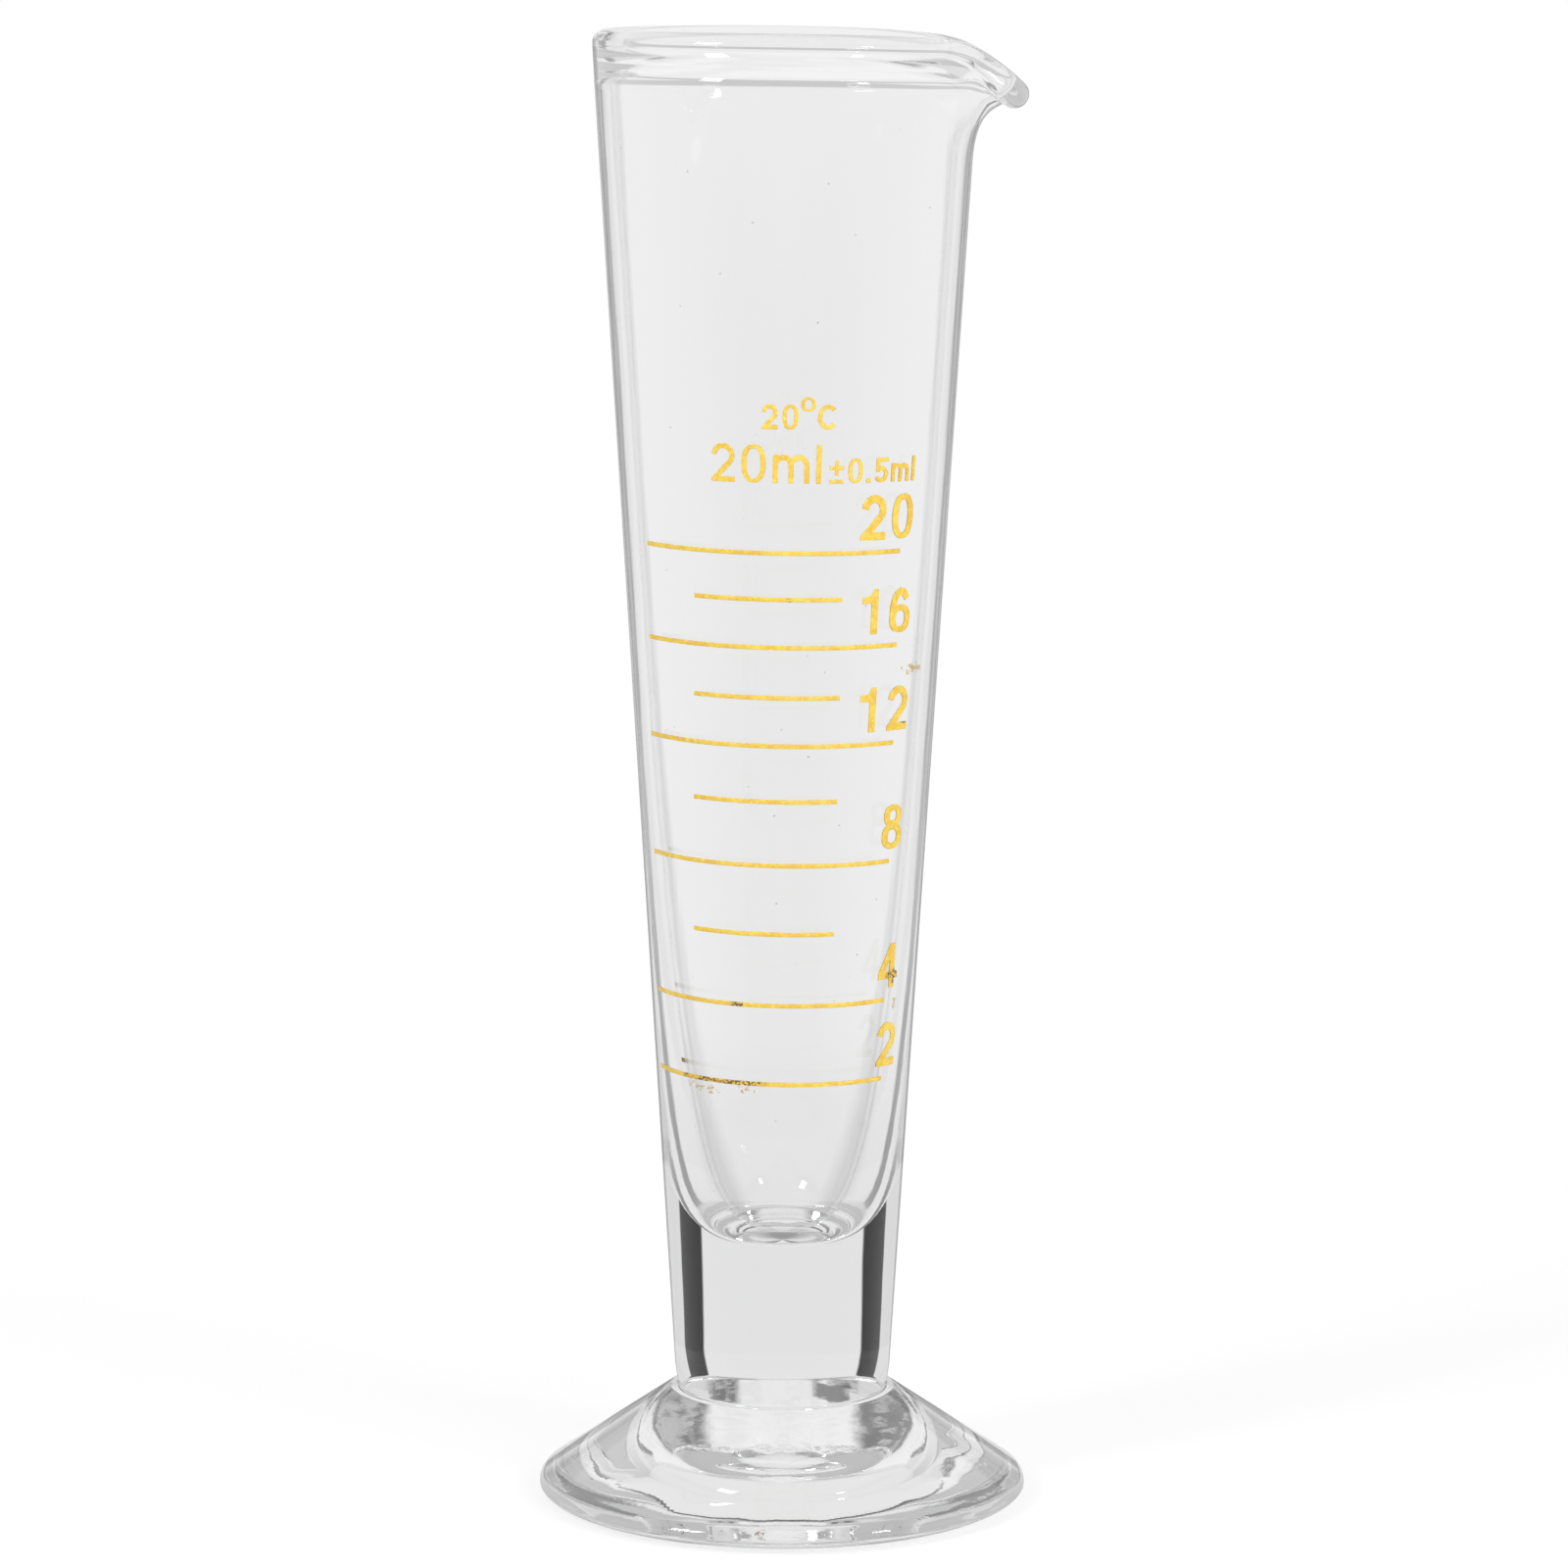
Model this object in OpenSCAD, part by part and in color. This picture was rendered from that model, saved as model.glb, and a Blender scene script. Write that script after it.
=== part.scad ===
// Conical measuring glass: a graduated glass cone on a solid stem and a round pressed foot.
// The foot stands on Z = 0, the axis of the cone is Z, the lip points along +X and the scale
// faces -Y. All sizes are in millimetres and all angles in degrees.

/* [Glass cone] */
// Height of the whole glass, from the table to the top of the rim
glass_h = 129.3; // [122:0.1:140]
// Outside diameter of the cone at the height of the rim
mouth_d = 33.7; // [32:0.1:36]
// Diameter of the cone where it would meet the foot, without the rounding of the stem
stem_d = 18.8; // [17.8:0.1:19.6]
// Thickness of the wall of the cone
wall = 1.35; // [1.1:0.05:1.7]
// How far the end of the stem is drawn in above the foot
stem_draw = 0.4; // [0:0.05:0.7]
// Height over which the end of the stem is drawn in
stem_draw_h = 2.5; // [1.5:0.1:8]

/* [Cavity] */
// Height of the bottom of the cavity above the table
cavity_z = 23.5; // [19:0.1:27]
// Height below which the wall grows thicker towards the stem
thicken_z = 100; // [92:0.5:108]
// How late the wall grows thicker, a higher number keeps it thin for longer
thicken_power = 4; // [3.4:0.1:5]
// How blunt the bottom of the cavity is
bottom_power = 4.5; // [3.6:0.1:5.4]

/* [Rim and lip] */
// Diameter of the melted bead round the rim
bead_d = 2.6; // [2.2:0.05:2.9]
// How far the tip of the lip reaches out past the rim
lip_reach = 4.2; // [2.5:0.1:4.7]
// How far the tip of the lip hangs below the rim beside it
lip_drop = 3.4; // [2:0.1:4.5]
// How far the side of the rim that holds the lip dips
rim_dip = 0.75; // [0:0.05:1.2]
// Angle each side of the lip's middle at which it has almost run out
lip_half_angle = 14; // [11:0.5:20]
// Height below the top of the rim at which the wall starts to turn out into the lip
lip_h = 11.3; // [9.5:0.1:13]
// Height that the wall still climbs before it turns out
lip_turn = 3.9; // [2.5:0.1:5]
// Length of the flat run behind the tip of the lip
lip_run = 2.8; // [1.5:0.1:3.5]
// Height that the flat run climbs
lip_climb = 1; // [0:0.1:1.6]

/* [Foot] */
// Diameter of the foot at its edge
foot_d = 43.2; // [42.4:0.1:50]
// Height of the foot, up to the face that the stem is fused to
foot_h = 9.8; // [8:0.1:11.5]
// Diameter of the collar at the top of the foot
collar_d = 20.4; // [20:0.1:23]
// Radius of the shoulder of the collar
collar_round = 0.6; // [0.3:0.05:0.9]
// Height of the edge, where the foot is widest
edge_z = 1.1; // [0.6:0.05:2]
// Radius of the edge above its widest point
edge_round = 1.3; // [0.8:0.05:2]
// Outer diameter of the ring that touches the table
contact_d = 36; // [34:0.1:40]
// Diameter of the hollow under the foot
hollow_d = 23.5; // [18:0.1:30]
// Height of the hollow under the foot
hollow_h = 2; // [0.6:0.05:3.6]
// How square the hollow is, a higher number gives a flatter ceiling and a steeper side
hollow_power = 10; // [4:0.5:14]

/* [Scale] */
// Millilitres that the glass holds below each line beyond what the line says
scale_excess = 0.55; // [0:0.05:0.9]
// How far the lower lines wander up and down from their true heights
print_wander = 0.45; // [0:0.05:0.6]
// Thickness of the enamel
enamel_t = 0.08; // [0.05:0.01:0.2]
// Width of a line of the scale
line_w = 0.4; // [0.3:0.02:0.7]
// Length of the top line, which is a numbered one, round the glass
long_line = 24.7; // [18:0.1:26]
// Length that a plain line would have at the height of the top line, round the glass
short_line = 13.2; // [8:0.1:16]
// Share of their length that the lines lose with each millimetre down the glass
line_narrowing = 0.001; // [0:0.0005:0.002]
// How far the middle of the top line lies from the front of the glass, round it
scale_shift = -1.5; // [-3:0.1:0]
// How far the whole printed scale leans, the end under the lip lower
print_lean = 0.83; // [0:0.01:1.5]

/* [Numbers beside the lines] */
// Height of a number
number_h = 3.9; // [2.8:0.1:4.2]
// Width of the stroke of a number
number_stroke = 0.68; // [0.4:0.02:0.8]
// Height of a number above the middle of its line
number_gap = 1.05; // [0.6:0.05:1.6]
// Where the numbers with two digits end, round the glass from the front
pair_end = 12.3; // [10:0.1:13]
// Where the numbers with one digit end, round the glass from the front
single_end = 12.05; // [10:0.1:13]

/* [Inscriptions above the scale] */
// Height of the capacity's letters
capacity_h = 3.3; // [2.4:0.1:3.6]
// Height of the capacity's foot line above the top line of the scale
capacity_rise = 6; // [5.6:0.1:7.5]
// Where the capacity starts, round the glass from the front
capacity_start = -6.5; // [-8:0.1:-5.5]
// Height of the tolerance's letters
tolerance_h = 2.15; // [1.6:0.05:2.4]
// Where the tolerance starts, round the glass from the front
tolerance_start = 3.7; // [3.6:0.1:5]
// Height of the temperature's letters
temperature_h = 2.15; // [1.6:0.05:2.6]
// Height of the temperature's foot line above the top line of the scale
temperature_rise = 10.6; // [10:0.1:13]
// Where the temperature starts, round the glass from the front
temperature_start = -2.15; // [-6:0.1:2]
// Width of the capacity's stroke
capacity_stroke = 0.46; // [0.3:0.02:0.55]
// Width of the stroke of the small letters
small_stroke = 0.38; // [0.25:0.01:0.42]

/* [Hidden] */
// Volumes of the numbered lines and of the plain lines, in millilitres
NUMBERED_ML = [20, 16, 12, 8, 4, 2];
PLAIN_ML = [18, 14, 10, 6];

glass_colour = [0.86, 0.9, 0.91, 0.45];
enamel_colour = [0.9, 0.66, 0.14];
round_fn = 96;

// Outside of the cone
cone_slope = (mouth_d - stem_d) / 2 / (glass_h - foot_h);
function cone_r(z) = stem_d / 2 + cone_slope * (z - foot_h);

// Heights on the mouth: the bead's centre, where the lip starts and where the plain cone ends
bead_r = bead_d / 2;
bead_z = glass_h - bead_r;
lip_z = glass_h - lip_h;
mouth_plain_h = 6;
mouth_z = lip_z - mouth_plain_h;
// The mouth has flat facets, so its lower ring is kept inside the round one that it stands on
facet_inset = 0.04;

// Inside of the cone: the plain wall times a factor that closes the cavity at its bottom
cavity_steps = 28;
cavity_spread = 2.5;
cavity_span = thicken_z - cavity_z;
function fullness(z) =
    z >= thicken_z ? 1 : pow(1 - pow((thicken_z - z) / cavity_span, thicken_power), 1 / bottom_power);
function cavity_point(z) = [(cone_r(z) - wall) * fullness(z), z];
function cavity_step_z(i) = cavity_z + cavity_span * pow(i / cavity_steps, cavity_spread);
cavity_curve = concat(
    [for (i = [0:cavity_steps]) cavity_point(cavity_step_z(i))],
    [cavity_point(mouth_z)]
);

// The cavity is a stack of short cones. These give the volume of one, and the height in it that
// holds a volume, in cubic millimetres.
function ring_volume(a, b) = PI * (b[1] - a[1]) * (pow(a[0], 2) + a[0] * b[0] + pow(b[0], 2)) / 3;
function ring_fill(a, b, v) =
    let (k = (b[0] - a[0]) / (b[1] - a[1]))
    a[1] + (pow(pow(a[0], 3) + 3 * k * v / PI, 1 / 3) - a[0]) / k;
function fill_height(v, i = 0) =
    let (ring = ring_volume(cavity_curve[i], cavity_curve[i + 1]))
    v <= ring || i + 2 == len(cavity_curve)
        ? ring_fill(cavity_curve[i], cavity_curve[i + 1], v)
        : fill_height(v - ring, i + 1);
ml_mm3 = 1000;

// The print wanders in one full wave from the lowest line to the line of 14 ml
wander_low = 2;
wander_high = 14;
function wander(ml) =
    let (share = (min(ml, wander_high) - wander_low) / (wander_high - wander_low))
    print_wander * sin(360 * share);
function line_z(ml) = fill_height((ml + scale_excess) * ml_mm3) - wander(ml);
top_line_z = line_z(NUMBERED_ML[0]);

// Outline helpers
function arc(centre, rx, ry, from, to, steps) =
    [for (i = [0:steps]) let (a = from + (to - from) * i / steps) centre + [rx * cos(a), ry * sin(a)]];
function unit(v) = v / norm(v);
function reversed(list) = [for (i = [len(list) - 1:-1:0]) list[i]];

// Cone, stem and cavity, up to the plain part of the mouth
stem_steps = 6;
function stem_curve() = [
    for (i = [0:stem_steps])
        let (rise = stem_draw_h * i / stem_steps)
        [cone_r(foot_h + rise) - stem_draw * pow(1 - i / stem_steps, 2), foot_h + rise]
];

module plain_cone() {
    outside = concat([[0, foot_h]], stem_curve(), [[cone_r(mouth_z), mouth_z]]);
    rotate_extrude($fn = round_fn) polygon(concat(outside, reversed(cavity_curve)));
}

// The mouth is a sheet down the middle of the wall that is bent out at the lip. Its place is given
// by u, from -1 at the plain cone, past 0 where the lip starts, to 1 at the bead, and by the angle
// round the rim from the middle of the lip.
lip_spread = 4;
function lip_weight(angle) = exp(-pow(angle / lip_half_angle, 2));
function dip_weight(angle) = exp(-pow(angle / (lip_spread * lip_half_angle), 2));
function sheet_z(u) = lip_z + u * (u < 0 ? mouth_plain_h : bead_z - lip_z);
function straight_wall(u) = [cone_r(sheet_z(u)) - wall / 2, sheet_z(u)];
function bezier(p, t) =
    pow(1 - t, 3) * p[0] + 3 * t * pow(1 - t, 2) * p[1]
    + 3 * pow(t, 2) * (1 - t) * p[2] + pow(t, 3) * p[3];
lip_root = straight_wall(0);
lip_tip = [cone_r(bead_z) - bead_r + lip_reach, bead_z - lip_drop];
lip_path = [
    lip_root, lip_root + [cone_slope * lip_turn, lip_turn], lip_tip - [lip_run, lip_climb], lip_tip
];
function sheet(u, angle) =
    let (
        straight = straight_wall(u),
        bent = u <= 0 ? straight : bezier(lip_path, u),
        p = straight + lip_weight(angle) * (bent - straight),
        dip = rim_dip * dip_weight(angle) * pow(max(u, 0), 2)
    )
    [p[0] * cos(angle), p[0] * sin(angle), p[1] - dip];

// Directions on the sheet: round the rim, up the wall and straight out of the glass
probe_u = 0.01;
probe_angle = 0.5;
function round_dir(u, angle) = unit(sheet(u, angle + probe_angle) - sheet(u, angle - probe_angle));
function up_dir(u, angle) = unit(sheet(u, angle) - sheet(u - probe_u, angle));
function out_dir(u, angle) = unit(cross(round_dir(u, angle), up_dir(u, angle)));

// One cut through the mouth: up the outside, round the bead and down the inside
half_wall = wall / 2 - facet_inset;
outer_end = 0.84;
inner_end = 0.76;
bend_rows = 8;
bead_steps = 12;
bead_end = 235;
function wall_rows(end) = concat([-1, -0.5], [for (i = [0:bend_rows]) end * i / bend_rows]);
function mouth_cut(angle) =
    let (
        out = out_dir(1, angle),
        up = cross(out, round_dir(1, angle)),
        inset = (1 - lip_weight(angle)) * (bead_r - wall / 2),
        centre = sheet(1, angle) - inset * out,
        bead_start = -acos((half_wall + inset) / bead_r),
        bead = arc([0, 0], bead_r, bead_r, bead_start, bead_end, bead_steps)
    )
    concat(
        [for (u = wall_rows(outer_end)) sheet(u, angle) + half_wall * out_dir(u, angle)],
        [for (p = bead) centre + p[0] * out + p[1] * up],
        [for (u = reversed(wall_rows(inner_end))) sheet(u, angle) - half_wall * out_dir(u, angle)]
    );

// The cuts stand closer together at the lip than at the back of the rim
mouth_cuts = 84;
cut_crowding = 0.6;
function cut_angle(i) =
    let (even = 360 * i / mouth_cuts - 180)
    even - cut_crowding * sin(even) * 180 / PI;

module mouth() {
    cuts = [for (i = [0:mouth_cuts - 1]) mouth_cut(cut_angle(i))];
    points = [for (cut = cuts) each cut];
    rows = len(cuts[0]);
    faces = [
        for (i = [0:mouth_cuts - 1], k = [0:rows - 1])
            let (
                here = i * rows,
                next = (i + 1) % mouth_cuts * rows,
                above = (k + 1) % rows,
                corners = [here + k, here + above, next + above, next + k]
            )
            each [[corners[0], corners[1], corners[2]], [corners[0], corners[2], corners[3]]]
    ];
    polyhedron(points, faces);
}

module measuring_cone() {
    color(glass_colour) union() {
        plain_cone();
        mouth();
    }
}

// Foot: a hollow, the ring that touches the table, the rounded edge, a straight flank that is
// tangent to the edge and to the shoulder, and the flat face that carries the stem
arc_steps = 8;
edge_centre = [foot_d / 2 - edge_round, edge_z];
collar_centre = [collar_d / 2 - collar_round, foot_h - collar_round];
flank = collar_centre - edge_centre;
flank_normal = atan2(flank[1], flank[0]) - acos((edge_round - collar_round) / norm(flank));

// Points of the hollow stand closer together towards its steep side
hollow_steps = 12;
function hollow_out(i) = 1 - pow(1 - i / hollow_steps, 2);
function hollow_point(out) = [hollow_d / 2 * out, hollow_h * (1 - pow(out, hollow_power))];

function foot_outline() = concat(
    [for (i = [0:hollow_steps]) hollow_point(hollow_out(i))],
    arc([contact_d / 2, edge_z], (foot_d - contact_d) / 2, edge_z, -90, 0, arc_steps),
    arc(edge_centre, edge_round, edge_round, 0, flank_normal, arc_steps),
    arc(collar_centre, collar_round, collar_round, flank_normal, 90, arc_steps),
    [[0, foot_h]]
);

module foot() {
    color(glass_colour) rotate_extrude($fn = round_fn) polygon(foot_outline());
}

// Enamel lies on the outside of the cone. A place on the scale is given by its height and by its
// distance from the front of the glass, measured round the glass. The lean turns the whole print
// about the front of its top line.
function turn(along, z) = along / cone_r(z) * 180 / PI;
function leaned(z, along) = z - along * sin(print_lean);
function swung(along, z) = along + (z - top_line_z) * sin(print_lean);
front_angle = -90;

module enamel_coat(low, high, from = 0, sweep = 360) {
    rotate_extrude(angle = sweep, start = from, $fn = round_fn)
        polygon([
            [cone_r(low), low], [cone_r(low) + enamel_t, low],
            [cone_r(high) + enamel_t, high], [cone_r(high), high]
        ]);
}

module graduation(ml, length) {
    z = line_z(ml);
    reach = line_w + length * sin(print_lean);
    sweep = turn(length * (1 - line_narrowing * (top_line_z - z)), z);
    middle = turn(swung(scale_shift, z), z);
    color(enamel_colour) intersection() {
        enamel_coat(z - reach, z + reach, front_angle + middle - sweep / 2, sweep);
        translate([0, 0, z]) rotate([0, print_lean, 0])
            cube([mouth_d * 2, mouth_d * 2, line_w], center = true);
    }
}

// Letters are strokes of one width in a box that starts at the origin
module stroke(path, w) {
    last = len(path) - 1;
    side = [
        for (i = [0:last])
            let (
                before = unit(path[max(i, 1)] - path[max(i, 1) - 1]),
                after = unit(path[min(i, last - 1) + 1] - path[min(i, last - 1)]),
                along = unit(before + after)
            )
            w / 2 * [-along[1], along[0]] / (along * before)
    ];
    polygon(concat(path + side, reversed(path - side)));
}

oval_points = 32;
oval_power = 2.4;
function squared(c) = sign(c) * pow(abs(c), 2 / oval_power);
function oval(centre, rx, ry) =
    [for (i = [0:oval_points - 1])
        let (a = 360 * i / oval_points)
        centre + [rx * squared(cos(a)), ry * squared(sin(a))]];

// The strokes of a ring are thinner at its top and bottom than at its sides
ring_thin = 0.78;
module ring(left, low, w, h, s) {
    centre = [left + w / 2, low + h / 2];
    difference() {
        polygon(oval(centre, w / 2, h / 2));
        polygon(oval(centre, w / 2 - s, h / 2 - s * ring_thin));
    }
}

// Width of each letter as a share of its height, and the gap between two letters
letter_gap = 0.17;
function letter_w(c) =
    c == "m" ? 0.95 : c == "C" ? 0.84 : c == "±" ? 0.6 : c == "°" ? 0.42 : c == "l" ? 0.18
    : c == "." ? 0.2 : 0.64;

module letter(c, h, s) {
    w = letter_w(c) * h;
    if (c == "0") ring(0, 0, w, h, s);
    if (c == "1") letter_one(w, h, s);
    if (c == "2") letter_two(w, h, s);
    if (c == "4") letter_four(w, h, s);
    if (c == "5") letter_five(w, h, s);
    if (c == "6") letter_six(w, h, s);
    if (c == "8") letter_eight(w, h, s);
    if (c == "m") letter_m(w, h * 0.74, s);
    if (c == "l") square([s, h]);
    if (c == "C") stroke(arc([w / 2, h / 2], (w - s) / 2, (h - s) / 2, 42, 318, 20), s);
    if (c == "°") letter_degree(w, h, s);
    if (c == "±") letter_plus_minus(w, h * 0.92, s * 0.85);
    if (c == ".") square([s * 1.1, s * 1.1]);
}

module letter_one(w, h, s) {
    right = w * 0.74;
    left = right - s;
    flag = w * 0.1;
    polygon([
        [left, 0], [right, 0], [right, h], [left + s * 0.3, h], [left - s * 0.15, h * 0.86],
        [flag, h * 0.82], [flag, h * 0.68], [left, h * 0.68]
    ]);
}

module letter_two(w, h, s) {
    bowl_h = h * 0.25;
    bowl = arc([w / 2, h - s / 2 - bowl_h], (w - s) / 2, bowl_h, 175, -32, 12);
    intersection() {
        square([w, h]);
        stroke(concat(bowl, [[s * 0.6, s / 2], [w + s, s / 2]]), s);
    }
}

module letter_four(w, h, s) {
    post = w * 0.56;
    bar = h * 0.2;
    bar_top = bar + s * 0.9;
    slope = (h - bar_top) / post;
    difference() {
        polygon([
            [post, 0], [post + s, 0], [post + s, bar], [w, bar], [w, bar_top], [post + s, bar_top],
            [post + s, h], [post, h], [0, bar_top], [0, bar], [post, bar]
        ]);
        polygon([[post, bar_top], [post, h - s * slope * 1.1], [s * 1.1, bar_top]]);
    }
}

module letter_five(w, h, s) {
    post = w * 0.1;
    bowl_h = h * 0.33 - s / 2;
    translate([post, h - s]) square([w - post, s]);
    translate([post, h * 0.42]) square([s, h * 0.58]);
    stroke(arc([w * 0.48, h * 0.33], w * 0.52 - s / 2, bowl_h, 135, -155, 16), s);
}

module letter_six(w, h, s) {
    ring(0, 0, w, h * 0.62, s);
    stroke(concat([[s / 2, h * 0.3]], arc([w / 2, h * 0.5], (w - s) / 2, (h - s) / 2, 180, 35, 12)), s);
}

module letter_eight(w, h, s) {
    ring(0, 0, w, h * 0.57, s);
    ring(w * 0.05, h * 0.5, w * 0.9, h * 0.5, s);
}

module letter_m(w, h, s) {
    pitch = (w - s) / 2;
    square([s, h]);
    for (i = [0:1]) {
        centre = [s / 2 + pitch * (i + 0.5), h - s / 2 - pitch / 2];
        bend = arc(centre, pitch / 2, pitch / 2, 180, 0, 10);
        stroke(concat(bend, [[centre[0] + pitch / 2, 0]]), s);
    }
}

module letter_plus_minus(w, h, s) {
    cross_z = h - w / 2;
    square([w, s]);
    translate([0, cross_z - s / 2]) square([w, s]);
    translate([w / 2 - s / 2, cross_z - w / 2]) square([s, w]);
}

module letter_degree(w, h, s) {
    width = w * 1.38;
    ring((w - width) / 2, h - width / 2, width, width, s * 0.8);
}

// Distance from the start of a word to the start of its letter i
function letter_start(word, h, i) =
    i == 0 ? 0 : letter_start(word, h, i - 1) + (letter_w(word[i - 1]) + letter_gap) * h;
function word_w(word, h) = letter_start(word, h, len(word)) - letter_gap * h;

coat_margin = 1;
module inscription(word, start, z, h, s) {
    color(enamel_colour) for (i = [0:len(word) - 1]) {
        w = letter_w(word[i]) * h;
        middle = swung(start, z) + letter_start(word, h, i) + w / 2;
        foot_z = leaned(z, middle);
        intersection() {
            enamel_coat(foot_z - coat_margin, foot_z + h + coat_margin);
            rotate([0, 0, turn(middle, z)]) translate([0, 0, foot_z]) rotate([90, print_lean, 0])
                translate([-w / 2, 0, cone_r(z) / 2]) linear_extrude(cone_r(z)) letter(word[i], h, s);
        }
    }
}

module numeral(ml) {
    word = str(ml);
    end = len(word) > 1 ? pair_end : single_end;
    inscription(word, end - word_w(word, number_h), line_z(ml) + number_gap, number_h, number_stroke);
}

module capacity_mark() {
    inscription("20ml", capacity_start, top_line_z + capacity_rise, capacity_h, capacity_stroke);
}

module tolerance_mark() {
    inscription("±0.5ml", tolerance_start, top_line_z + capacity_rise, tolerance_h, small_stroke);
}

module temperature_mark() {
    inscription("20°C", temperature_start, top_line_z + temperature_rise, temperature_h, small_stroke);
}

measuring_cone();
foot();
for (ml = NUMBERED_ML) graduation(ml, long_line);
for (ml = PLAIN_ML) graduation(ml, short_line);
for (ml = NUMBERED_ML) numeral(ml);
capacity_mark();
tolerance_mark();
temperature_mark();
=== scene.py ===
"""Dresses the conical measuring glass: one fused body of clear glass, a fired amber scale and a
white studio. All lengths are in metres. The frame is the part's own: Z up from the table, the lip
along +X and the scale facing -Y.
"""

import math

import bmesh
import bpy
from mathutils import Matrix, Vector


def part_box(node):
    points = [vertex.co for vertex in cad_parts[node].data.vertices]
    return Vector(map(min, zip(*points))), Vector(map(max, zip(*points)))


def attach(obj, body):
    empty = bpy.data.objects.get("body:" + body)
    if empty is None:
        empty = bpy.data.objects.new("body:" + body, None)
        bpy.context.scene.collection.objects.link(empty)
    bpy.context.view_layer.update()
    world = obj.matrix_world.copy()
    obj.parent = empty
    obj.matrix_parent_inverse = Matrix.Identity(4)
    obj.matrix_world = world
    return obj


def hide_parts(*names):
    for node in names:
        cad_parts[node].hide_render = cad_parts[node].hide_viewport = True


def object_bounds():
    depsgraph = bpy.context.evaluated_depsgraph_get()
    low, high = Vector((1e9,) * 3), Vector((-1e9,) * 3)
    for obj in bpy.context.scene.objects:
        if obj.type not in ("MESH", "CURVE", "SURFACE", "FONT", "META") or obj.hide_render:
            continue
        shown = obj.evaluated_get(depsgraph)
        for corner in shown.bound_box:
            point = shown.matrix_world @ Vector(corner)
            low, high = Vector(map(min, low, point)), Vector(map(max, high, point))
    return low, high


bl_info = {
    "name": "Measuring glass studio",
    "version": (1, 0, 0),
    "blender": (4, 5, 0),
    "location": "3D View > Sidebar > Measuring glass",
    "description": "Builds the glass, the enamel scale and the studio of a conical measuring glass",
    "category": "Add Mesh",
}

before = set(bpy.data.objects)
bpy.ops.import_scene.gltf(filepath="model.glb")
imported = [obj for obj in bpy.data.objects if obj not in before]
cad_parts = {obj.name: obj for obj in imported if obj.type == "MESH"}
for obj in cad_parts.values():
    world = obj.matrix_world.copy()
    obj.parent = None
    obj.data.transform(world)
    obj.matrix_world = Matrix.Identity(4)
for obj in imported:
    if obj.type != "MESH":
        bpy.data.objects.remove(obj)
CAD_LOW, CAD_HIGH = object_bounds()
_, FOOT_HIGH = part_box("foot")
MM = 0.001
IOR = 1.5
WHITE = (1, 1, 1, 1)

NUMBERED_ML = (20, 16, 12, 8, 4, 2)
PLAIN_ML = (18, 14, 10, 6)
INSCRIPTIONS = [f"numeral_{ml}" for ml in NUMBERED_ML] + [
    "capacity_mark",
    "tolerance_mark",
    "temperature_mark",
]

# Small upright ovals on the front of the glass, in millimetres: sideways and up to the middle,
# then half the width and half the height. The scuffs are burnt spots in the print, the crumbs
# are bits of enamel beside it.
SCUFFS = (
    (-5.1, 39.2, 3.8, 0.5),
    (-4.0, 46.1, 0.6, 0.35),
    (9.6, 47.9, 0.8, 0.7),
    (10.3, 70.6, 0.4, 0.35),
    (0.3, 81.4, 0.2, 0.3),
)
CRUMBS = (
    (-6.5, 38.2, 1.2, 0.35),
    (-3.1, 38.4, 0.7, 0.3),
    (9.6, 45.4, 0.35, 0.5),
    (10.8, 74.9, 0.95, 0.5),
)

# Steps of the glass mesh along each stretch of its outline, and round the axis
HOLLOW_STEPS = 32
EDGE_STEPS = 12
COLLAR_STEPS = 8
SLOPE_STEPS = 12
STEM_STEPS = 12
CONE_STEPS = 70
JOIN_STEPS = 6
LIP_STEPS = 22
BEAD_STEPS = 40
CAVITY_STEPS = 72
CUTS = 240

# How closely the steps crowd towards the bottom of the cavity and round the lip
CAVITY_CROWDING = 2.5
CUT_CROWDING = 0.6

# Share of the bent wall at which its outer and inner rows end and the bead takes over, and how
# many rows on each side of that seam are softened
OUTER_END = 0.84
INNER_END = 0.76
SOFT_LIP_ROWS = 4
SOFT_BEAD_ROWS = 3
SOFT_PASSES = 4

# The bead ends this far round its own centre
BEAD_END = math.radians(235)

# How many times wider the dip of the rim is than the lip
DIP_SPREAD = 4

# Small moves that tell which way the sheet of glass faces
PROBE_TURN = math.radians(0.5)
PROBE_DROP = 0.01 * MM
PROBE_SHARE = 0.01


def gray(level):
    """An opaque gray."""
    return (level, level, level, 1)


SOFT_GRAY = gray(0.6)


def length(name, description, mm):
    """A size that the user can change, in metres."""
    return bpy.props.FloatProperty(
        name=name, description=description, default=mm * MM, unit="LENGTH", precision=5
    )


def share(name, description, default):
    """A plain number that the user can change."""
    return bpy.props.FloatProperty(name=name, description=description, default=default)


def turn(name, description, degrees):
    """An angle that the user can change."""
    return bpy.props.FloatProperty(
        name=name, description=description, default=math.radians(degrees), subtype="ANGLE"
    )


def tint(name, description, default):
    """A colour that the user can change."""
    return bpy.props.FloatVectorProperty(
        name=name, description=description, default=default, size=3, subtype="COLOR", min=0, max=1
    )


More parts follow.
